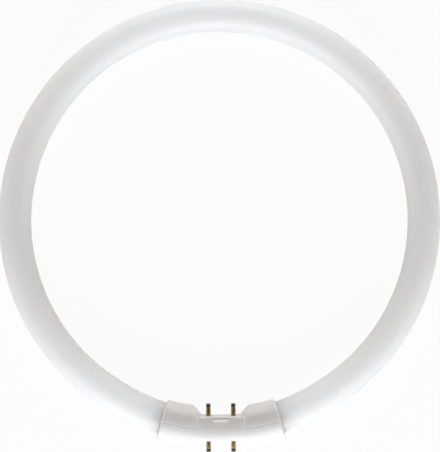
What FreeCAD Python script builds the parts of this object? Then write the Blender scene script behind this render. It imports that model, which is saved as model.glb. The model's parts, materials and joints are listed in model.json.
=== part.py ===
import FreeCAD, Part
import math
import os

# A ring-shaped fluorescent tube whose two sealed ends meet in a moulded cap with four contact pins.
# The ring lies flat: +Z is the ring's own axis and the cap is towards -Y. All pieces are drawn about
# the ring's axis and moved together at the end, so that the part stands on the origin.
# Sizes are in millimetres, and angles in degrees where they are named so.

Vector = FreeCAD.Vector
UP = Vector(0, 0, 1)
RIGHT = Vector(1, 0, 0)
INTO_RING = Vector(0, 1, 0)
CENTRE = Vector(0, 0, 0)
FULL_TURN = 2 * math.pi
QUARTER_TURN_DEGREES = 90

# Glass ring. Its ends are bent a little wider than the ring, as a bender leaves them.
ring_outer_diameter = 225.0
tube_diameter = 16.5
eased_length = 52.1
tube_end_round = 3.0
flare_mouth_diameter = 8.0
flare_floor_diameter = 6.4
flare_depth = 6.0
exhaust_tip_diameter = 1.8
exhaust_tip_length = 3.0

# Cap. Its length runs along its own bent centre line, which lies outside the ring's centre line.
cap_length = 61.3
cap_outward_offset = 1.55
cap_wall = 1.5
tube_clearance = 0.12
tube_end_clearance = 3.0
collar_lip_length = 1.6
collar_lip_round = 1.2

# Notches that the pins stand in. Each has a flat platform between two slopes.
platform_offset = 6.0
inner_notch_width = 20.2
outer_notch_width = 19.0
notch_slope_degrees = 53.5
notch_corner_round = 1.0
notch_rim_round = 0.35

# Seam between the halves, the tongues of the outer half and the latch pocket in each tongue
seam_gap = 0.1
tongue_width = 23.7
groove_width = 1.0
groove_depth = 0.25
pocket_width = 8.2
pocket_length = 1.0
pocket_slope_degrees = 60.0
pocket_floor_level = 7.6
pocket_rim_round = 0.7
pocket_wall = 1.2

# Contact pins, riveted into the platforms and crimped on their wires
pin_spacing = 12.7
pin_diameter = 2.35
pin_length = 6.4
pin_tip_length = 2.2
pin_tip_round = 0.5
pin_crimp_width = 0.5
pin_crimp_depth = 0.15
pin_seat_diameter = 2.0
pin_seat_clearance = 0.03
pin_rivet_diameter = 3.4
pin_rivet_thickness = 0.6

# Lead wires between the sealed ends and the pins
lead_diameter = 0.5
lead_clearance = 0.05
lead_spacing = 4.0
lead_turn_level = 1.5
lead_bend_radius = 1.0

# Sizes that follow from those above
tube_radius = tube_diameter / 2
ring_radius = (ring_outer_diameter - tube_diameter) / 2
cap_radius = ring_radius + cap_outward_offset
cap_half_angle = cap_length / 2 / cap_radius
notch_slope = math.radians(notch_slope_degrees)
pocket_slope = math.radians(pocket_slope_degrees)
slope_wall_run = cap_wall / math.sin(notch_slope)
slope_run_to_tube = (tube_radius - platform_offset) / math.tan(notch_slope)
notch_end = max(inner_notch_width, outer_notch_width) / 2 + slope_run_to_tube + slope_wall_run
tube_end_offset = notch_end + tube_end_clearance
tube_end_angle = math.asin(tube_end_offset / cap_radius)
ease_angle = tube_end_angle + eased_length / ring_radius
pin_shank_length = pin_length - pin_tip_length
pin_bore_radius = lead_diameter / 2 + lead_clearance


def outward(angle):
    """Direction from the ring's axis, at an angle from the cap's middle towards +X."""
    return Vector(math.sin(angle), -math.cos(angle), 0)


def inward_turn(direction):
    """Direction along the ring towards the cap's middle, for an outward direction on the +X side."""
    return Vector(direction.y, -direction.x, 0)


# The eased end is an arc of its own that leaves the ring smoothly and ends on the cap's centre line.
ease_start = outward(ease_angle) * ring_radius
tube_end = outward(tube_end_angle) * cap_radius
ease_chord = tube_end - ease_start
ease_radius = -ease_chord.dot(ease_chord) / (2 * ease_chord.dot(outward(ease_angle)))
ease_centre = ease_start - outward(ease_angle) * ease_radius
ease_turn = 2 * math.asin(ease_chord.Length / (2 * ease_radius))
tube_end_outward = (tube_end - ease_centre) / ease_radius
tube_end_heading = inward_turn(tube_end_outward)

# The tube lies off the cap's centre line at the mouth, so the bore is that much wider than the tube.
mouth = outward(cap_half_angle)
mouth_along = mouth.dot(ease_centre)
mouth_reach = math.sqrt(mouth_along ** 2 - ease_centre.dot(ease_centre) + ease_radius ** 2)
tube_drift_at_mouth = abs(cap_radius - mouth_along - mouth_reach)
bore_radius = tube_radius + tube_drift_at_mouth + tube_clearance
collar_radius = bore_radius + cap_wall
cut_reach = 2 * collar_radius


def mirrored(shape):
    """The same shape on the -X side."""
    return shape.mirror(CENTRE, RIGHT)


def arc_tube(section_radius, centre, path_radius, start_angle, turn):
    """Round bar along an arc about the Z direction through a centre."""
    section_centre = centre + outward(start_angle) * path_radius
    section = Part.makeCircle(section_radius, section_centre, inward_turn(outward(start_angle)))
    return Part.Face(Part.Wire(section)).revolve(centre, UP, math.degrees(turn))


def cap_point(x, depth, height):
    """Point at a distance outwards from the middle of the cap's centre line."""
    return Vector(x, -cap_radius - depth, height)


def cap_box(half_width, low, high, bottom, top):
    """Box between two distances outwards from the cap's centre line and two heights."""
    return Part.makeBox(2 * half_width, high - low, top - bottom, cap_point(-half_width, high, bottom))


def tube_end_piece():
    """Eased end of the ring on the +X side: round shoulder, flared seal and pumping tip."""
    end = arc_tube(tube_radius, ease_centre, ease_radius, ease_angle, -ease_turn)
    shoulder = [edge for edge in end.Edges if edge.CenterOfMass.distanceToPoint(tube_end) < tube_end_round]
    end = end.makeFillet(tube_end_round, shoulder)
    into_glass = tube_end_heading * -1
    flare_mouth = flare_mouth_diameter / 2
    flare = Part.makeCone(flare_mouth, flare_floor_diameter / 2, flare_depth, tube_end, into_glass)
    flare_floor = tube_end + into_glass * flare_depth
    tip_radius = exhaust_tip_diameter / 2
    tip = Part.makeCylinder(tip_radius, exhaust_tip_length, flare_floor, tube_end_heading)
    tip_rim = [edge for edge in tip.Edges
               if edge.Closed and edge.CenterOfMass.distanceToPoint(flare_floor) > tip_radius]
    round_tip = tip.makeFillet(tip_radius / 2, tip_rim)
    return end.cut(flare.cut(round_tip))


def glass_tube():
    ring = arc_tube(tube_radius, CENTRE, ring_radius, ease_angle, FULL_TURN - 2 * ease_angle)
    end = tube_end_piece()
    return ring.fuse([end, mirrored(end)]).removeSplitter()


def notch(side, width, wall):
    """Space of the inner (-1) or outer (+1) notch, or with a wall its shape on the cavity's side."""
    corner_run = wall / math.sin(notch_slope) - wall / math.tan(notch_slope)
    floor_half = width / 2 + corner_run
    floor = platform_offset - wall
    mouth_half = floor_half + (cut_reach - floor) / math.tan(notch_slope)
    outline = [(-floor_half, floor), (floor_half, floor), (mouth_half, cut_reach), (-mouth_half, cut_reach)]
    corners = [cap_point(x, side * depth, -cut_reach) for x, depth in outline]
    space = Part.Face(Part.makePolygon(corners + corners[:1])).extrude(UP * 2 * cut_reach)
    floor_y = -cap_radius - side * floor
    upright = [edge for edge in space.Edges if abs(edge.CenterOfMass.y - floor_y) < cap_wall
               and edge.BoundBox.ZLength > cut_reach]
    return space.makeFillet(notch_corner_round + wall, upright)


def collar_edges(shape, at_ends):
    """Edges where the collar's round skin is cut off: at its two ends, or else round the notches."""
    found = []
    for edge in shape.Edges:
        faces = shape.ancestorsOfType(edge, Part.Face)
        round_faces = [isinstance(face.Surface, Part.Toroid) for face in faces]
        is_end = abs(edge.CenterOfMass.x) > tube_end_offset
        if any(round_faces) and not all(round_faces) and is_end == at_ends:
            found.append(edge)
    return found


def pocket_boxes(margin):
    """Walled blocks behind the latch pockets, one above and one below the ring's plane."""
    half_width = pocket_width / 2 + pocket_wall + margin
    low = -cut_reach
    high = pocket_length + pocket_wall / math.sin(pocket_slope) + margin - platform_offset
    bottom = pocket_floor_level - pocket_wall - margin
    return [cap_box(half_width, low, high, bottom, cut_reach),
            cap_box(half_width, low, high, -cut_reach, -bottom)]


def pocket_spaces():
    """The latch pockets themselves: a rounded rim at the platform, a flat floor and a slope behind it."""
    left = -pocket_width / 2
    floor = pocket_floor_level
    rim_low = floor - pocket_rim_round
    floor_end = pocket_length - platform_offset
    slope_end = floor_end + (cut_reach - floor) / math.tan(pocket_slope)
    rim_centre = cap_point(left, pocket_rim_round - platform_offset, rim_low)
    rim_start = rim_centre + INTO_RING * pocket_rim_round
    rim_middle = rim_centre + (UP + INTO_RING).normalize() * pocket_rim_round
    rim_end = rim_centre + UP * pocket_rim_round
    rim = Part.Arc(rim_start, rim_middle, rim_end).toShape()
    outline = [(floor_end, floor), (slope_end, cut_reach), (-cut_reach, cut_reach), (-cut_reach, rim_low)]
    corners = [rim_end] + [cap_point(left, depth, height) for depth, height in outline] + [rim_start]
    section = Part.Face(Part.Wire([rim] + Part.makePolygon(corners).Edges))
    space = section.extrude(RIGHT * pocket_width)
    return [space, space.mirror(CENTRE, UP)]


def cap_shell():
    """Both halves of the cap as one hollow moulding, before the seam parts them."""
    notches = [(-1, inner_notch_width), (1, outer_notch_width)]
    collar = arc_tube(collar_radius, CENTRE, cap_radius, -cap_half_angle, 2 * cap_half_angle)
    shell = collar.cut([notch(side, width, 0) for side, width in notches])
    shell = shell.makeFillet(notch_rim_round, collar_edges(shell, at_ends=False))
    shell = shell.makeFillet(collar_lip_round, collar_edges(shell, at_ends=True))
    bore_half_angle = cap_half_angle - collar_lip_length / cap_radius
    bore = arc_tube(bore_radius, CENTRE, cap_radius, -bore_half_angle, 2 * bore_half_angle)
    cavity = bore.cut([notch(side, width, cap_wall) for side, width in notches] + pocket_boxes(0))
    passage = arc_tube(tube_radius + tube_clearance, ease_centre, ease_radius, ease_angle, -ease_turn)
    return shell.cut([cavity, passage, mirrored(passage)] + pocket_spaces())


def seam_cylinder(radius):
    return Part.makeCylinder(radius, 2 * cut_reach, UP * -cut_reach)


def tongue_space(margin, core_radius):
    """Space of the two tongues: the cap's skin across its middle, with the pocket blocks behind it."""
    slab = cap_box(tongue_width / 2 + margin, -cut_reach, cut_reach, -cut_reach, cut_reach)
    core = arc_tube(core_radius, CENTRE, cap_radius, -cap_half_angle, 2 * cap_half_angle)
    return slab.cut(core).fuse(pocket_boxes(margin))


def diamond(middle, across, deep):
    """Four-sided section of a V-shaped groove, centred on the skin."""
    corners = [middle + across, middle + deep, middle - across, middle - deep]
    return Part.Face(Part.makePolygon(corners + corners[:1]))


def seam_grooves():
    """V-shaped grooves along the seam on the two collars, on both faces of the cap."""
    start = outward(-cap_half_angle)
    across_tongues = cap_box(tongue_width / 2, -cut_reach, cut_reach, -cut_reach, cut_reach)
    grooves = []
    for face_side in (1, -1):
        middle = start * cap_radius + UP * face_side * collar_radius
        section = diamond(middle, start * (groove_width / 2), UP * groove_depth)
        groove = section.revolve(CENTRE, UP, math.degrees(2 * cap_half_angle))
        grooves.append(groove.cut(across_tongues))
    return grooves


def tongue_grooves():
    """V-shaped grooves down both sides of the tongues, from the inner notch to the seam."""
    grooves = []
    for side in (1, -1):
        x = side * tongue_width / 2
        centre = Vector(x, -math.sqrt(cap_radius ** 2 - x ** 2), 0)
        section = diamond(centre + UP * collar_radius, RIGHT * (groove_width / 2), UP * groove_depth)
        ring = section.revolve(centre, RIGHT, math.degrees(FULL_TURN))
        grooves.append(ring.common(seam_cylinder(cap_radius)))
    return grooves


def pin_holes():
    """Holes for the four pins, through both platforms."""
    radius = pin_seat_diameter / 2 + pin_seat_clearance
    starts = [cap_point(side * pin_spacing / 2, cut_reach, 0) for side in (1, -1)]
    return [Part.makeCylinder(radius, 2 * cut_reach, start, INTO_RING) for start in starts]


def cap_halves():
    """Inner and outer half of the cap, a seam gap apart."""
    shell = cap_shell()
    cuts = seam_grooves() + tongue_grooves() + pin_holes()
    inner_zone = seam_cylinder(cap_radius - seam_gap / 2).cut(tongue_space(seam_gap / 2, bore_radius))
    outer_keep_out = seam_cylinder(cap_radius + seam_gap / 2).cut(tongue_space(0, bore_radius + seam_gap))
    return shell.common(inner_zone).cut(cuts), shell.cut(outer_keep_out).cut(cuts)


def contact_pin(side):
    """Pin on the +X side that points into the ring (-1) or out of it (+1)."""
    radius = pin_diameter / 2
    seat = pin_seat_diameter / 2
    rivet = pin_rivet_diameter / 2
    neck = radius - pin_crimp_depth
    back = -cap_wall - pin_rivet_thickness
    crimp_end = pin_shank_length + pin_crimp_width
    profile = [(0, back), (rivet, back), (rivet, -cap_wall), (seat, -cap_wall), (seat, 0), (radius, 0),
               (radius, pin_shank_length), (neck, pin_shank_length + pin_crimp_width / 2),
               (radius, crimp_end), (radius, pin_length), (0, pin_length)]
    points = [Vector(r, 0, s) for r, s in profile]
    pin = Part.Face(Part.makePolygon(points + points[:1])).revolve(CENTRE, UP, math.degrees(FULL_TURN))
    top = UP * pin_length
    tip_rim = [edge for edge in pin.Edges
               if edge.Closed and edge.CenterOfMass.distanceToPoint(top) < pin_tip_round]
    pin = pin.makeFillet(pin_tip_round, tip_rim)
    bore_length = crimp_end + lead_clearance - back
    pin = pin.cut(Part.makeCylinder(pin_bore_radius, bore_length, UP * back))
    pin.rotate(CENTRE, RIGHT, QUARTER_TURN_DEGREES * side)
    pin.translate(cap_point(pin_spacing / 2, side * platform_offset, 0))
    return pin


def lead_wire(side):
    """Wire on the +X side from the tube's seal to the pin that points in (-1) or out (+1)."""
    pin_x = pin_spacing / 2
    seal = tube_end - tube_end_heading * flare_depth + tube_end_outward * (side * lead_spacing / 2)
    corner = cap_point(pin_x, side * lead_turn_level, 0)
    wire_end = platform_offset + pin_shank_length + pin_crimp_width
    finish = cap_point(pin_x, side * wire_end, 0)
    first = (corner - seal).normalize()
    last = (finish - corner).normalize()
    start = seal + first * lead_clearance
    bend_turn = first.getAngle(last)
    bend_run = lead_bend_radius * math.tan(bend_turn / 2)
    bend_depth = lead_bend_radius / math.cos(bend_turn / 2) - lead_bend_radius
    bend_start = corner - first * bend_run
    bend_end = corner + last * bend_run
    bend_middle = corner + (last - first).normalize() * bend_depth
    bend = Part.Arc(bend_start, bend_middle, bend_end).toShape()
    path = Part.Wire([Part.makeLine(start, bend_start), bend, Part.makeLine(bend_end, finish)])
    section = Part.Wire(Part.makeCircle(lead_diameter / 2, start, first))
    return path.makePipeShell([section], True, True)


def all_pieces():
    inner_half, outer_half = cap_halves()
    pieces = {"glass_tube": glass_tube(), "cap_inner_half": inner_half, "cap_outer_half": outer_half}
    for name, side in (("inner", -1), ("outer", 1)):
        pin = contact_pin(side)
        wire = lead_wire(side)
        pieces["contact_pin_" + name + "_right"] = pin
        pieces["contact_pin_" + name + "_left"] = mirrored(pin)
        pieces["lead_wire_" + name + "_right"] = wire
        pieces["lead_wire_" + name + "_left"] = mirrored(wire)
    return pieces


# The origin is the middle of the part's own box, on the surface that the cap's underside rests on.
lowest_y = -cap_radius - max(collar_radius, platform_offset + pin_length)
highest_y = ring_outer_diameter / 2
to_origin = Vector(0, -(lowest_y + highest_y) / 2, collar_radius)

os.makedirs("parts", exist_ok=True)
for node, piece in all_pieces().items():
    piece.translate(to_origin)
    piece.exportStep("parts/" + node + ".step")
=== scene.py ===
import json
import math

import bpy
from bpy.props import FloatProperty, FloatVectorProperty, IntProperty, PointerProperty
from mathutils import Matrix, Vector


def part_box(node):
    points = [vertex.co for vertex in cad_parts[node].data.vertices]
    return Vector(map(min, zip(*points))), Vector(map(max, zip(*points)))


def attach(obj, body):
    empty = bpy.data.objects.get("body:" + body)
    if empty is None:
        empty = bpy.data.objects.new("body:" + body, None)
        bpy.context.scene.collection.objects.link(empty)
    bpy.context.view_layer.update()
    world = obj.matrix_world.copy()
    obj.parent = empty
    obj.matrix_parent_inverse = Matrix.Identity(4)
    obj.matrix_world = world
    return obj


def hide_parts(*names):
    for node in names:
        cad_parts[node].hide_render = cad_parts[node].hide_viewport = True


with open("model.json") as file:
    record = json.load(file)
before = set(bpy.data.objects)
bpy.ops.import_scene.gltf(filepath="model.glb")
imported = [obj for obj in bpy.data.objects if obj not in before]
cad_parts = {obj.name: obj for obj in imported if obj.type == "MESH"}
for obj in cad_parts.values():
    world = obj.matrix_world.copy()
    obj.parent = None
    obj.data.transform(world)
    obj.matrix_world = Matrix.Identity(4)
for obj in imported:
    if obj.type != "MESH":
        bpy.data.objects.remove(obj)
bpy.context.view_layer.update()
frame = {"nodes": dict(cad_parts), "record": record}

bl_info = {
    "name": "Ring Lamp",
    "version": (1, 0, 0),
    "blender": (4, 5, 0),
    "location": "View3D > Sidebar > Ring Lamp",
    "description": "Bends and finishes a circular fluorescent tube and sets it on a pale studio floor",
    "category": "Add Mesh",
}

# Lengths are in metres, as in the frame. The ring lies flat with its cap towards -Y.
MM = 0.001
UP = Vector((0, 0, 1))
INTO_RING = Vector((0, 1, 0))
ROOT = "root"

# Fineness of the meshes
ROUND_STEPS = 6
SMOOTH_UNDER = math.radians(40)
JOIN_WITHIN = 0.001 * MM
MIRROR_WITHIN = 0.05 * MM

# Places read from the frame: the ring's own axis, and the line through the cap's middle
glass_low, glass_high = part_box("glass_tube")
mounts = {mount["name"]: mount for mount in frame["record"]["mounts"]}
tube_radius = (glass_high.z - glass_low.z) / 2
ring_radius = glass_high.x - tube_radius
ring_centre = Vector((0, glass_high.y - glass_high.x, (glass_low.z + glass_high.z) / 2))
inner_pin_place = Vector(mounts["pin_inner_right"]["pos_m"])
outer_pin_place = Vector(mounts["pin_outer_right"]["pos_m"])
cap_middle = Vector((0, (inner_pin_place.y + outer_pin_place.y) / 2, ring_centre.z))
cap_radius = ring_centre.y - cap_middle.y


def linear(hex_value):
    """Linear colour of an sRGB hex value such as #F2F0EC."""
    shares = [int(hex_value[i:i + 2], 16) / 255 for i in (1, 3, 5)]
    return tuple(s / 12.92 if s <= 0.04045 else ((s + 0.055) / 1.055) ** 2.4 for s in shares)


def length(name, description, default):
    """A size that a user may change, in metres."""
    return FloatProperty(name=name, description=description, default=default, unit="LENGTH", precision=5)


def colour(name, description, default):
    """A colour that a user may change, given as an sRGB hex value."""
    return FloatVectorProperty(name=name, description=description, default=linear(default),
                               subtype="COLOR", min=0, max=1)


class GlassSizes(bpy.types.PropertyGroup):
    tube_radius: length("Tube radius", "Outer radius of the glass tube", tube_radius)
    eased_length: length("Eased length", "Length over which each end leaves the ring's circle", 52.1 * MM)
    end_offset: length("End offset", "Sideways distance from the cap's middle to a sealed end", 16.631 * MM)
    shoulder: length("Shoulder", "Radius of the round shoulder at a sealed end", 3.0 * MM)
    flare_mouth: length("Flare mouth", "Radius of the flared seal at the end face", 4.0 * MM)
    flare_floor: length("Flare floor", "Radius of the flared seal at its floor", 3.2 * MM)
    flare_depth: length("Flare depth", "Depth of the flared seal", 6.0 * MM)
    pump_tip: length("Pumping tip", "Radius of the pumping tip that stands on the flare's floor", 0.9 * MM)
    pump_tip_length: length("Pumping tip length", "Height of the pumping tip", 3.0 * MM)
    segments: IntProperty(name="Segments", description="Flat sides round the tube", default=96, min=24)
    step: FloatProperty(name="Step", description="Turn about the ring's axis between two loops",
                        default=math.radians(1), min=math.radians(0.25), subtype="ANGLE")


class CapSizes(bpy.types.PropertyGroup):
    tongue_half: length("Tongue half width", "Half the width of the tongues over the cap's middle",
                        11.85 * MM)
    tongue_depth: length("Tongue depth", "Length of the tongues' sides from the seam into the ring",
                         5.6 * MM)
    # Width of the painted highlight along the seam and down the tongues' sides.
    seam_highlight_width: length("Seam highlight width", "Width of the painted highlight along the seam", 1.0 * MM)


class PinSizes(bpy.types.PropertyGroup):
    radius: length("Pin radius", "Radius of the pin's shank",
                   mounts["pin_inner_right"]["dims"]["r_mm"] * MM)
    seat: length("Seat radius", "Radius where the pin passes through the platform", 1.0 * MM)
    rivet: length("Rivet radius", "Radius of the riveted head behind the platform", 1.7 * MM)
    rivet_thickness: length("Rivet thickness", "Thickness of the riveted head", 0.6 * MM)
    wall: length("Wall", "Thickness of the platform that the pin is riveted into", 1.5 * MM)
    reach: length("Reach", "Length of the pin from the platform to its tip", 6.4 * MM)
    shank: length("Shank", "Length of the plain shank",
                  mounts["pin_inner_right"]["dims"]["length_mm"] * MM)
    crimp: length("Crimp width", "Width of the groove that was rolled in to grip the wire", 0.5 * MM)
    crimp_depth: length("Crimp depth", "Depth of that groove", 0.15 * MM)
    tip_round: length("Tip round", "Radius of the round at the pin's tip", 0.5 * MM)
    bore: length("Bore", "Radius of the hole that the lead wire runs in", 0.3 * MM)
    segments: IntProperty(name="Segments", description="Flat sides round the pin", default=48, min=12)


class FinishColours(bpy.types.PropertyGroup):
    powder: colour("Powder", "White powder coating seen through the glass", "#FDFCFC")
    powder_thin: colour("Thin powder", "Powder where the coating is a little thinner", "#FAF9F9")
    plastic: colour("Plastic", "Moulded cap plastic", "#E0DDDA")
    plastic_shade: colour("Plastic shade", "Cap plastic where the melt flowed last", "#DCD8D4")
    # A painted highlight: a whiter colour that stands in for the light caught along the seam's edges.
    seam_highlight_colour: colour("Painted seam highlight", "Painted highlight along the seam and the tongues' sides", "#FAF9F7")
    brass: colour("Brass", "Drawn brass of the pins", "#B59C6A")
    tarnish: colour("Tarnish", "Brass darkened at the crimped tip and in spots", "#766A58")
    nickel: colour("Nickel", "Plated skin of the lead wires", "#BDB9B2")
    floor: colour("Floor", "Pale studio floor", "#DEDEDC")


class StageSettings(bpy.types.PropertyGroup):
    camera_height: length("Camera height", "Height of the lens above the ring's plane", 1.0)
    camera_side: length("Camera side", "Sideways place of the camera", 0.26 * MM)
    camera_forward: length("Camera forward", "Place of the camera along the ring's middle line", -0.11 * MM)
    camera_roll: FloatProperty(name="Camera roll", description="Turn of the camera about its own axis",
                               default=math.radians(-0.42), subtype="ANGLE")
    lens: FloatProperty(name="Lens", description="Focal length in millimetres", default=156.12,
                        unit="CAMERA")
    floor_size: length("Floor size", "Width of the studio floor", 12.0)
    lamp_distance: length("Lamp distance", "Distance of the strip lights from the ring's middle", 1.3)
    lamp_length: length("Lamp length", "Length of a strip light", 1.2)
    lamp_width: length("Lamp width", "Width of a strip light", 0.35)
    front_height: FloatProperty(name="Front height", description="Angle of the front light above the floor",
                                default=math.radians(25), subtype="ANGLE")
    back_height: FloatProperty(name="Back height", description="Angle of the back light above the floor",
                               default=math.radians(5), subtype="ANGLE")
    front_light: FloatProperty(name="Front light", description="Power of the strip light on the cap's side",
                               default=15.4, unit="POWER")
    back_light: FloatProperty(name="Back light", description="Power of the strip light behind the ring",
                              default=8.6, unit="POWER")
    lamp_colour: colour("Lamp colour", "Daylight white of the strip lights", "#EDF4FF")
    wall_colour: colour("Wall colour", "Warmer white of the studio walls", "#FFFAF4")
    wall_light: FloatProperty(name="Wall light", description="Strength of the light from the studio walls",
                              default=2.05)
    ceiling_light: FloatProperty(name="Ceiling light", description="Strength of the light from the ceiling",
                                 default=0.12)
    wall_top: FloatProperty(name="Wall top", description="Angle at which the walls begin to darken",
                            default=math.radians(6), subtype="ANGLE")
    ceiling_start: FloatProperty(name="Ceiling start", description="Angle at which the dark ceiling begins",
                                 default=math.radians(40), subtype="ANGLE")


class RingLampSettings(bpy.types.PropertyGroup):
    glass: PointerProperty(type=GlassSizes, name="Glass", description="Sizes of the coated glass ring")
    cap: PointerProperty(type=CapSizes, name="Cap", description="Places on the moulded cap")
    pins: PointerProperty(type=PinSizes, name="Pins", description="Sizes of the contact pins")
    colours: PointerProperty(type=FinishColours, name="Colours", description="Colours of the finishes")
    stage: PointerProperty(type=StageSettings, name="Stage", description="Camera, floor and lights")


# Mix node sockets for colours, which share their names with those for numbers
MIX_FACTOR, MIX_A, MIX_B, MIX_RESULT = 0, 6, 7, 2

# Values between which nearly all of a noise pattern lies
NOISE_LOW, NOISE_HIGH = 0.3, 0.7


def add_node(tree, kind, inputs, **settings):
    """Add a node, set its properties, and give each named input a value or a link."""
    node = tree.nodes.new(kind)
    for name, value in settings.items():
        setattr(node, name, value)
    for name, value in inputs.items():
        if isinstance(value, bpy.types.NodeSocket):
            tree.links.new(value, node.inputs[name])
        else:
            node.inputs[name].default_value = value
    return node


def new_material(name):
    """An empty material and its node tree."""
    material = bpy.data.materials.new(name)
    material.use_nodes = True
    material.node_tree.nodes.clear()
    return material, material.node_tree


def opaque(rgb):
    """Colour with full alpha, as a colour socket takes it."""
    return (*rgb, 1.0)


def phosphor_coated_glass(colours):
    """Clear drawn glass with a white powder coating on its inside."""
    # The powder was washed in wet and dried, so its white is faintly cloudy along the tube. The drawn
    # glass in front of it is smooth, with long shallow waves, and puts a soft gloss over the white.
    # Light that gets through the powder is thrown about inside the hollow tube, which evens out the
    # shading. Scattering over a distance far wider than the tube gives the same even look.
    cloud_width = 45 * MM
    wave_width = 14 * MM
    wave_height = 0.05 * MM
    scatter_reach = 250 * MM
    material, tree = new_material("phosphor_coated_glass")
    place = add_node(tree, "ShaderNodeTexCoord", {}).outputs["Object"]
    cloud = add_node(tree, "ShaderNodeTexNoise",
                     {"Vector": place, "Scale": 1 / cloud_width, "Detail": 1.0, "Roughness": 0.4})
    white = add_node(tree, "ShaderNodeMix",
                     {MIX_FACTOR: cloud.outputs["Fac"], MIX_A: opaque(colours.powder_thin),
                      MIX_B: opaque(colours.powder)}, data_type="RGBA")
    gloss = add_node(tree, "ShaderNodeMapRange",
                     {"Value": cloud.outputs["Fac"], "From Min": NOISE_LOW, "From Max": NOISE_HIGH,
                      "To Min": 0.46, "To Max": 0.54})
    waves = add_node(tree, "ShaderNodeTexNoise",
                     {"Vector": place, "Scale": 1 / wave_width, "Detail": 1.0, "Roughness": 0.4})
    bump = add_node(tree, "ShaderNodeBump",
                    {"Height": waves.outputs["Fac"], "Strength": 0.25, "Distance": wave_height})
    skin = add_node(tree, "ShaderNodeBsdfPrincipled",
                    {"Base Color": white.outputs[MIX_RESULT], "Roughness": gloss.outputs[0],
                     "IOR": 1.5, "Normal": bump.outputs["Normal"], "Subsurface Weight": 0.85,
                     "Subsurface Radius": (1, 1, 1), "Subsurface Scale": scatter_reach})
    add_node(tree, "ShaderNodeOutputMaterial", {"Surface": skin.outputs[0]})
    return material


def moulded_cap_plastic(colours, cap):
    """White thermoplastic polyester, injection moulded."""
    # The mould was spark eroded to a fine satin, which softens the gloss. Thick and thin places cooled
    # at different speeds, so the white is not quite even. A whiter line is painted along the seam and down
    # the tongues' sides: a painted highlight where those edges catch the light.
    flow_width = 9 * MM
    flow_low, flow_high = 0.35, 0.65
    satin_width = 0.25 * MM
    satin_height = 0.02 * MM
    material, tree = new_material("moulded_white_polyester")
    place = add_node(tree, "ShaderNodeTexCoord", {}).outputs["Object"]
    flow = add_node(tree, "ShaderNodeTexNoise",
                    {"Vector": place, "Scale": 1 / flow_width, "Detail": 2.0, "Roughness": 0.5})
    share = add_node(tree, "ShaderNodeMapRange",
                     {"Value": flow.outputs["Fac"], "From Min": flow_low, "From Max": flow_high})
    moulded = add_node(tree, "ShaderNodeMix",
                       {MIX_FACTOR: share.outputs[0], MIX_A: opaque(colours.plastic_shade),
                        MIX_B: opaque(colours.plastic)}, data_type="RGBA")

    # The seam runs along the cap's centre line up to the tongues, whose sides run into the ring.
    centred = add_node(tree, "ShaderNodeMapping", {"Vector": place, "Location": -ring_centre})
    flat = add_node(tree, "ShaderNodeVectorMath", {0: centred.outputs[0], 1: (1, 1, 0)},
                    operation="MULTIPLY")
    from_axis = add_node(tree, "ShaderNodeVectorMath", {0: flat.outputs[0]}, operation="LENGTH")
    parts = add_node(tree, "ShaderNodeSeparateXYZ", {"Vector": centred.outputs[0]})
    side = add_node(tree, "ShaderNodeMath", {0: parts.outputs["X"]}, operation="ABSOLUTE")
    past_seam = add_node(tree, "ShaderNodeMath", {0: from_axis.outputs["Value"], 1: cap_radius},
                         operation="SUBTRACT")
    past_tongue = add_node(tree, "ShaderNodeMath", {0: side.outputs[0], 1: cap.tongue_half},
                           operation="SUBTRACT")
    in_tongue = add_node(tree, "ShaderNodeMath", {0: past_tongue.outputs[0], 1: -1.0},
                         operation="MULTIPLY")
    off_seam = add_node(tree, "ShaderNodeMath", {0: past_seam.outputs[0]}, operation="ABSOLUTE")
    off_side = add_node(tree, "ShaderNodeMath", {0: past_tongue.outputs[0]}, operation="ABSOLUTE")
    from_seam = add_node(tree, "ShaderNodeMath", {0: off_seam.outputs[0], 1: in_tongue.outputs[0]},
                         operation="MAXIMUM")
    past_notch = add_node(tree, "ShaderNodeMath",
                          {0: past_seam.outputs[0], 1: -1.0, 2: -cap.tongue_depth},
                          operation="MULTIPLY_ADD")
    off_ends = add_node(tree, "ShaderNodeMath", {0: past_seam.outputs[0], 1: past_notch.outputs[0]},
                        operation="MAXIMUM")
    from_side = add_node(tree, "ShaderNodeMath", {0: off_side.outputs[0], 1: off_ends.outputs[0]},
                         operation="MAXIMUM")
    from_line = add_node(tree, "ShaderNodeMath", {0: from_seam.outputs[0], 1: from_side.outputs[0]},
                         operation="MINIMUM")
    # Mask of the painted highlight: a whiter line where the seam and the tongues' sides catch the light.
    seam_highlight_mask = add_node(tree, "ShaderNodeMapRange",
                        {"Value": from_line.outputs[0], "From Min": cap.seam_highlight_width / 4,
                         "From Max": cap.seam_highlight_width / 2, "To Min": 1.0, "To Max": 0.0},
                        interpolation_type="SMOOTHSTEP")
    # The painted highlight is mixed into the moulded white here.
    white = add_node(tree, "ShaderNodeMix",
                     {MIX_FACTOR: seam_highlight_mask.outputs[0], MIX_A: moulded.outputs[MIX_RESULT],
                      MIX_B: opaque(colours.seam_highlight_colour)}, data_type="RGBA")

    # The real satin is finer than a tenth of a millimetre, and is drawn coarser so that it shows close up.
    satin = add_node(tree, "ShaderNodeTexNoise",
                     {"Vector": place, "Scale": 1 / satin_width, "Detail": 2.0, "Roughness": 0.6})
    gloss = add_node(tree, "ShaderNodeMapRange",
                     {"Value": satin.outputs["Fac"], "From Min": NOISE_LOW, "From Max": NOISE_HIGH,
                      "To Min": 0.46, "To Max": 0.58})
    bump = add_node(tree, "ShaderNodeBump",
                    {"Height": satin.outputs["Fac"], "Strength": 0.2, "Distance": satin_height})
    skin = add_node(tree, "ShaderNodeBsdfPrincipled",
                    {"Base Color": white.outputs[MIX_RESULT], "Roughness": gloss.outputs[0],
                     "IOR": 1.55, "Normal": bump.outputs["Normal"]})
    add_node(tree, "ShaderNodeOutputMaterial", {"Surface": skin.outputs[0]})
    return material


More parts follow.
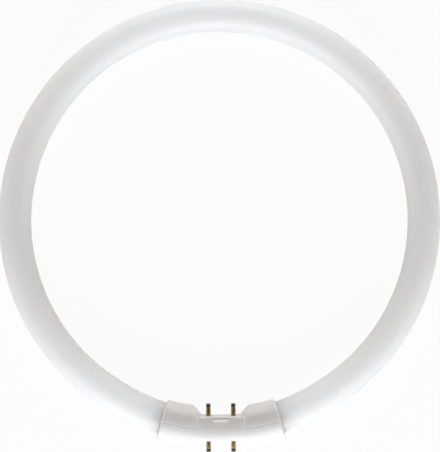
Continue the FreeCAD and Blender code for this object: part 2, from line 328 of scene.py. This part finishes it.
def drawn_brass(colours, pins):
    """Drawn brass tube, crimped and dulled at its tip."""
    # Drawing leaves lines along the pin. The real lines are finer than a tenth of a millimetre, and are
    # drawn coarser so that they show close up. The crimped tip was heated and handled, so it is darker,
    # and the bare shank has tarnished in small spots.
    line_width = 0.12 * MM
    line_height = 0.01 * MM
    line_squeeze = (1, 0.06, 1)
    spot_width = 1.1 * MM
    spot_low, spot_high, spot_strength = 0.42, 0.62, 0.75
    ragged_edge = 1.6 * MM
    # The dulled stretch is measured from the cap's middle, so that it suits the pins on both sides.
    tip = abs(inner_pin_place.y - cap_middle.y) + pins.reach - pins.shank / 2
    dull_start = tip - 2.6 * MM
    dull_full = tip - 0.6 * MM
    material, tree = new_material("drawn_brass")
    place = add_node(tree, "ShaderNodeTexCoord", {}).outputs["Object"]
    centred = add_node(tree, "ShaderNodeMapping", {"Vector": place, "Location": -cap_middle})
    parts = add_node(tree, "ShaderNodeSeparateXYZ", {"Vector": centred.outputs[0]})
    reach = add_node(tree, "ShaderNodeMath", {0: parts.outputs["Y"]}, operation="ABSOLUTE")
    lines = add_node(tree, "ShaderNodeMapping", {"Vector": place, "Scale": line_squeeze})
    drawn = add_node(tree, "ShaderNodeTexNoise",
                     {"Vector": lines.outputs[0], "Scale": 1 / line_width, "Detail": 3.0, "Roughness": 0.6})
    stain = add_node(tree, "ShaderNodeTexNoise",
                     {"Vector": place, "Scale": 1 / spot_width, "Detail": 3.0, "Roughness": 0.6})
    ragged = add_node(tree, "ShaderNodeMath",
                      {0: stain.outputs["Fac"], 1: ragged_edge, 2: reach.outputs[0]},
                      operation="MULTIPLY_ADD")
    dulled = add_node(tree, "ShaderNodeMapRange",
                      {"Value": ragged.outputs[0], "From Min": dull_start, "From Max": dull_full},
                      interpolation_type="SMOOTHSTEP")
    spots = add_node(tree, "ShaderNodeMapRange",
                     {"Value": stain.outputs["Fac"], "From Min": spot_low, "From Max": spot_high,
                      "To Max": spot_strength})
    darkened = add_node(tree, "ShaderNodeMath", {0: dulled.outputs[0], 1: spots.outputs[0]},
                        operation="MAXIMUM")
    metal = add_node(tree, "ShaderNodeMix",
                     {MIX_FACTOR: darkened.outputs[0], MIX_A: opaque(colours.brass),
                      MIX_B: opaque(colours.tarnish)}, data_type="RGBA")
    gloss = add_node(tree, "ShaderNodeMapRange",
                     {"Value": drawn.outputs["Fac"], "From Min": NOISE_LOW, "From Max": NOISE_HIGH,
                      "To Min": 0.28, "To Max": 0.42})
    bump = add_node(tree, "ShaderNodeBump",
                    {"Height": drawn.outputs["Fac"], "Strength": 0.3, "Distance": line_height})
    skin = add_node(tree, "ShaderNodeBsdfPrincipled",
                    {"Base Color": metal.outputs[MIX_RESULT], "Metallic": 1.0,
                     "Roughness": gloss.outputs[0], "Normal": bump.outputs["Normal"]})
    add_node(tree, "ShaderNodeOutputMaterial", {"Surface": skin.outputs[0]})
    return material


def plated_lead_wire(colours):
    """Nickel-plated lead wire, drawn and then bent by hand."""
    # Plating over drawn wire keeps its marks, which are drawn coarser than they are so that they show
    # close up, and it has a soft, uneven metal gloss.
    mark_width = 0.2 * MM
    material, tree = new_material("nickel_plated_wire")
    place = add_node(tree, "ShaderNodeTexCoord", {}).outputs["Object"]
    drawn = add_node(tree, "ShaderNodeTexNoise",
                     {"Vector": place, "Scale": 1 / mark_width, "Detail": 3.0, "Roughness": 0.6})
    gloss = add_node(tree, "ShaderNodeMapRange",
                     {"Value": drawn.outputs["Fac"], "From Min": NOISE_LOW, "From Max": NOISE_HIGH,
                      "To Min": 0.25, "To Max": 0.45})
    skin = add_node(tree, "ShaderNodeBsdfPrincipled",
                    {"Base Color": opaque(colours.nickel), "Metallic": 1.0, "Roughness": gloss.outputs[0]})
    add_node(tree, "ShaderNodeOutputMaterial", {"Surface": skin.outputs[0]})
    return material


def studio_floor(colours):
    """Pale matt floor paint, put on with a roller."""
    # The roller leaves a faint stipple. The camera, gloss and glass see the floor as almost white, and
    # the rest of what they see is the paint itself, which keeps the object's shadow.
    stipple_width = 6 * MM
    stipple_height = 0.05 * MM
    white_share = 0.94
    material, tree = new_material("studio_floor_paint")
    place = add_node(tree, "ShaderNodeTexCoord", {}).outputs["Object"]
    roller = add_node(tree, "ShaderNodeTexNoise",
                      {"Vector": place, "Scale": 1 / stipple_width, "Detail": 2.0, "Roughness": 0.5})
    bump = add_node(tree, "ShaderNodeBump",
                    {"Height": roller.outputs["Fac"], "Strength": 0.05, "Distance": stipple_height})
    paint = add_node(tree, "ShaderNodeBsdfDiffuse",
                     {"Color": opaque(colours.floor), "Normal": bump.outputs["Normal"]})
    white = add_node(tree, "ShaderNodeEmission", {"Color": opaque((1, 1, 1)), "Strength": 1.0})
    path = add_node(tree, "ShaderNodeLightPath", {})
    seen = add_node(tree, "ShaderNodeMath",
                    {0: path.outputs["Is Camera Ray"], 1: path.outputs["Is Glossy Ray"]}, operation="ADD")
    seen = add_node(tree, "ShaderNodeMath",
                    {0: seen.outputs[0], 1: path.outputs["Is Transmission Ray"]}, operation="ADD")
    share = add_node(tree, "ShaderNodeMapRange", {"Value": seen.outputs[0], "To Max": white_share})
    mix = add_node(tree, "ShaderNodeMixShader",
                   {0: share.outputs[0], 1: paint.outputs[0], 2: white.outputs[0]})
    add_node(tree, "ShaderNodeOutputMaterial", {"Surface": mix.outputs[0]})
    return material


def studio_walls(stage):
    """White studio walls all round under a darker ceiling."""
    world = bpy.data.worlds.new("studio_walls")
    world.use_nodes = True
    tree = world.node_tree
    tree.nodes.clear()
    direction = add_node(tree, "ShaderNodeTexCoord", {}).outputs["Generated"]
    parts = add_node(tree, "ShaderNodeSeparateXYZ", {"Vector": direction})
    strength = add_node(tree, "ShaderNodeMapRange",
                        {"Value": parts.outputs["Z"], "From Min": math.sin(stage.wall_top),
                         "From Max": math.sin(stage.ceiling_start), "To Min": stage.wall_light,
                         "To Max": stage.ceiling_light}, interpolation_type="SMOOTHSTEP")
    sky = add_node(tree, "ShaderNodeBackground",
                   {"Color": opaque(stage.wall_colour), "Strength": strength.outputs[0]})
    add_node(tree, "ShaderNodeOutputWorld", {"Surface": sky.outputs[0]})
    return world


def outward(angle):
    """Direction from the ring's axis, at an angle from the cap's middle towards +X."""
    return Vector((math.sin(angle), -math.cos(angle), 0))


def along_ring(direction):
    """Direction along the ring away from the cap's middle, for an outward direction on the +X side."""
    return UP.cross(direction)


def start_loop(name, radius, centre, heading, segments):
    """Begin a piece as one round loop of edges, square to a heading and ready to be carried on."""
    bpy.ops.object.select_all(action="DESELECT")
    turn = heading.to_track_quat("Z", "Y").to_euler()
    bpy.ops.mesh.primitive_circle_add(vertices=segments, radius=radius, location=centre, rotation=turn)
    bpy.ops.object.transform_apply()
    piece = bpy.context.object
    piece.name = name
    piece.data.name = name
    bpy.ops.object.mode_set(mode="EDIT")
    bpy.ops.mesh.select_mode(type="VERT")
    bpy.ops.mesh.select_all(action="SELECT")
    return piece


def turn_sections(sections, place_at, heading):
    """Carry the selected loop through sections, each a distance along the heading and a radius."""
    for (here, radius), (there, next_radius) in zip(sections, sections[1:]):
        move = heading * (there - here)
        bpy.ops.mesh.extrude_region_move(TRANSFORM_OT_translate={"value": move})
        factor = next_radius / radius
        bpy.ops.transform.resize(value=(factor, factor, factor), center_override=place_at + heading * there)


def quarter_round(start_along, start_radius, size, along_sign, radius_sign):
    """Sections round a quarter circle: first along the axis, then turning to run across it."""
    sections = []
    for step in range(1, ROUND_STEPS + 1):
        angle = math.pi / 2 * step / ROUND_STEPS
        sections.append((start_along + along_sign * size * math.sin(angle),
                         start_radius + radius_sign * size * (1 - math.cos(angle))))
    return sections


def close_piece():
    """Fill the open loops, face the skin outwards, round the shading and leave edit mode."""
    bpy.ops.mesh.select_all(action="SELECT")
    bpy.ops.mesh.remove_doubles(threshold=JOIN_WITHIN)
    bpy.ops.mesh.select_all(action="DESELECT")
    bpy.ops.mesh.select_non_manifold()
    bpy.ops.mesh.fill_holes(sides=0)
    bpy.ops.mesh.select_all(action="SELECT")
    bpy.ops.mesh.normals_make_consistent(inside=False)
    bpy.ops.object.mode_set(mode="OBJECT")
    bpy.ops.object.shade_smooth_by_angle(angle=SMOOTH_UNDER)


class RINGLAMP_OT_glass_ring(bpy.types.Operator):
    """Bend the coated glass ring and shape its two sealed ends"""

    bl_idname = "ring_lamp.glass_ring"
    bl_label = "Glass Ring"

    def execute(self, context):
        settings = context.scene.ring_lamp
        sizes = settings.glass
        # Each end leaves the ring along an arc of its own and stops on the cap's centre line.
        end_angle = math.asin(sizes.end_offset / cap_radius)
        ease_angle = end_angle + sizes.eased_length / ring_radius
        ease_start = ring_centre + outward(ease_angle) * ring_radius
        tube_end = ring_centre + outward(end_angle) * cap_radius
        chord = tube_end - ease_start
        ease_radius = -chord.length_squared / (2 * chord.dot(outward(ease_angle)))
        ease_centre = ease_start - outward(ease_angle) * ease_radius
        ease_turn = 2 * math.asin(chord.length / (2 * ease_radius))
        shoulder_turn = sizes.shoulder / ease_radius
        shoulder_side = outward(ease_angle - ease_turn + shoulder_turn)
        into_glass = along_ring(shoulder_side)
        end_face = ease_centre + shoulder_side * ease_radius - into_glass * sizes.shoulder

        # The pumping tip, the flared seal round it and the shoulder are carried out of one small loop.
        tip_top = sizes.flare_depth - sizes.pump_tip_length
        face_radius = sizes.tube_radius - sizes.shoulder
        sections = [(tip_top, sizes.pump_tip / 2), (tip_top, sizes.pump_tip),
                    (sizes.flare_depth, sizes.pump_tip), (sizes.flare_depth, sizes.flare_floor),
                    (0, sizes.flare_mouth), (0, face_radius)]
        shoulder = quarter_round(sizes.shoulder, sizes.tube_radius, sizes.shoulder, -1, -1)
        sections += shoulder[-2::-1] + [(sizes.shoulder, sizes.tube_radius)]
        ring = start_loop("coated_glass_ring", sections[0][1], end_face + into_glass * tip_top,
                          into_glass, sizes.segments)
        turn_sections(sections, end_face, into_glass)

        # From the shoulder the loop runs along the eased arc and then round the ring to its far side.
        for centre, turn in ((ease_centre, ease_turn - shoulder_turn), (ring_centre, math.pi - ease_angle)):
            bpy.ops.mesh.spin(steps=round(turn / sizes.step), angle=-turn, center=centre, axis=UP)
        bpy.ops.object.mode_set(mode="OBJECT")
        mirror = ring.modifiers.new("other half", "MIRROR")
        mirror.use_axis = (True, False, False)
        mirror.merge_threshold = MIRROR_WITHIN
        bpy.ops.object.modifier_apply(modifier=mirror.name)
        bpy.ops.object.mode_set(mode="EDIT")
        close_piece()

        ring.data.materials.append(phosphor_coated_glass(settings.colours))
        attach(ring, ROOT)
        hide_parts("glass_tube")
        return {"FINISHED"}


class RINGLAMP_OT_cap_halves(bpy.types.Operator):
    """Give the two moulded halves of the cap their plastic"""

    bl_idname = "ring_lamp.cap_halves"
    bl_label = "Cap Halves"

    def execute(self, context):
        settings = context.scene.ring_lamp
        plastic = moulded_cap_plastic(settings.colours, settings.cap)
        for node in ("cap_inner_half", "cap_outer_half"):
            frame["nodes"][node].data.materials.clear()
            frame["nodes"][node].data.materials.append(plastic)
        return {"FINISHED"}


class RINGLAMP_OT_contact_pins(bpy.types.Operator):
    """Turn one brass contact pin and set a copy at each of the four places"""

    bl_idname = "ring_lamp.contact_pins"
    bl_label = "Contact Pins"

    def execute(self, context):
        settings = context.scene.ring_lamp
        sizes = settings.pins
        brass = drawn_brass(settings.colours, sizes)
        platform = inner_pin_place - INTO_RING * (sizes.shank / 2)
        back = -sizes.wall - sizes.rivet_thickness
        groove = sizes.shank + sizes.crimp
        neck = sizes.radius - sizes.crimp_depth
        sections = [(groove, sizes.bore), (back, sizes.bore), (back, sizes.rivet),
                    (-sizes.wall, sizes.rivet), (-sizes.wall, sizes.seat), (0, sizes.seat),
                    (0, sizes.radius), (sizes.shank, sizes.radius),
                    (sizes.shank + sizes.crimp / 2, neck), (groove, sizes.radius),
                    (sizes.reach - sizes.tip_round, sizes.radius)]
        sections += quarter_round(sizes.reach - sizes.tip_round, sizes.radius, sizes.tip_round, 1, -1)
        pin = start_loop("brass_pin_inner_right", sizes.bore, platform + INTO_RING * groove, INTO_RING,
                         sizes.segments)
        turn_sections(sections, platform, INTO_RING)
        close_piece()
        pin.data.materials.append(brass)

        pins = {"inner_right": pin}
        for name, across, along in (("inner_left", -1, 1), ("outer_right", 1, -1), ("outer_left", -1, -1)):
            bpy.ops.object.select_all(action="DESELECT")
            pin.select_set(True)
            context.view_layer.objects.active = pin
            bpy.ops.object.duplicate()
            copy = context.object
            copy.name = "brass_pin_" + name
            copy.data.name = copy.name
            bpy.ops.object.mode_set(mode="EDIT")
            bpy.ops.mesh.select_all(action="SELECT")
            bpy.ops.transform.resize(value=(across, along, 1), center_override=cap_middle)
            bpy.ops.mesh.normals_make_consistent(inside=False)
            bpy.ops.object.mode_set(mode="OBJECT")
            pins[name] = copy
        for name, piece in pins.items():
            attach(piece, ROOT)
            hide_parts("contact_pin_" + name)
        return {"FINISHED"}


class RINGLAMP_OT_lead_wires(bpy.types.Operator):
    """Give the four lead wires inside the cap their plated skin"""

    bl_idname = "ring_lamp.lead_wires"
    bl_label = "Lead Wires"

    def execute(self, context):
        nickel = plated_lead_wire(context.scene.ring_lamp.colours)
        for place in ("inner_left", "inner_right", "outer_left", "outer_right"):
            wire = frame["nodes"]["lead_wire_" + place]
            wire.data.materials.clear()
            wire.data.materials.append(nickel)
        return {"FINISHED"}


class RINGLAMP_OT_studio(bpy.types.Operator):
    """Lay the floor, hang the lights and set up the camera"""

    bl_idname = "ring_lamp.studio"
    bl_label = "Studio"

    def execute(self, context):
        settings = context.scene.ring_lamp
        stage = settings.stage
        bpy.ops.object.select_all(action="DESELECT")
        bpy.ops.mesh.primitive_plane_add(size=stage.floor_size, location=(0, 0, 0))
        floor = context.object
        floor.name = "studio_floor"
        floor.data.materials.append(studio_floor(settings.colours))

        strips = (("front_strip", -INTO_RING, stage.front_height, stage.front_light),
                  ("back_strip", INTO_RING, stage.back_height, stage.back_light))
        for name, towards, height, power in strips:
            aim = -towards * math.cos(height) - UP * math.sin(height)
            bpy.ops.object.light_add(type="AREA", location=ring_centre - aim * stage.lamp_distance,
                                     rotation=aim.to_track_quat("-Z", "Y").to_euler())
            strip = context.object
            strip.name = name
            strip.data.shape = "RECTANGLE"
            strip.data.size = stage.lamp_length
            strip.data.size_y = stage.lamp_width
            strip.data.energy = power
            strip.data.color = stage.lamp_colour
        context.scene.world = studio_walls(stage)

        height = ring_centre.z + stage.camera_height
        bpy.ops.object.camera_add(location=(stage.camera_side, stage.camera_forward, height),
                                  rotation=(0, 0, stage.camera_roll))
        camera = context.object
        camera.data.lens = stage.lens
        context.scene.camera = camera
        context.scene.view_settings.view_transform = "Standard"
        return {"FINISHED"}


OPERATORS = (RINGLAMP_OT_glass_ring, RINGLAMP_OT_cap_halves, RINGLAMP_OT_contact_pins,
             RINGLAMP_OT_lead_wires, RINGLAMP_OT_studio)


class RINGLAMP_PT_sidebar(bpy.types.Panel):
    bl_label = "Ring Lamp"
    bl_idname = "RINGLAMP_PT_sidebar"
    bl_space_type = "VIEW_3D"
    bl_region_type = "UI"
    bl_category = "Ring Lamp"

    def draw(self, context):
        settings = context.scene.ring_lamp
        for operator in OPERATORS:
            self.layout.operator(operator.bl_idname)
        for group in (settings.glass, settings.cap, settings.pins, settings.colours, settings.stage):
            for name in group.__annotations__:
                self.layout.prop(group, name)


CLASSES = (GlassSizes, CapSizes, PinSizes, FinishColours, StageSettings, RingLampSettings, *OPERATORS,
           RINGLAMP_PT_sidebar)


def register():
    for cls in CLASSES:
        bpy.utils.register_class(cls)
    bpy.types.Scene.ring_lamp = PointerProperty(type=RingLampSettings)


def unregister():
    del bpy.types.Scene.ring_lamp
    for cls in reversed(CLASSES):
        bpy.utils.unregister_class(cls)


def main():
    register()
    bpy.ops.ring_lamp.glass_ring()
    bpy.ops.ring_lamp.cap_halves()
    bpy.ops.ring_lamp.contact_pins()
    bpy.ops.ring_lamp.lead_wires()
    bpy.ops.ring_lamp.studio()


if __name__ == "__main__":
    main()
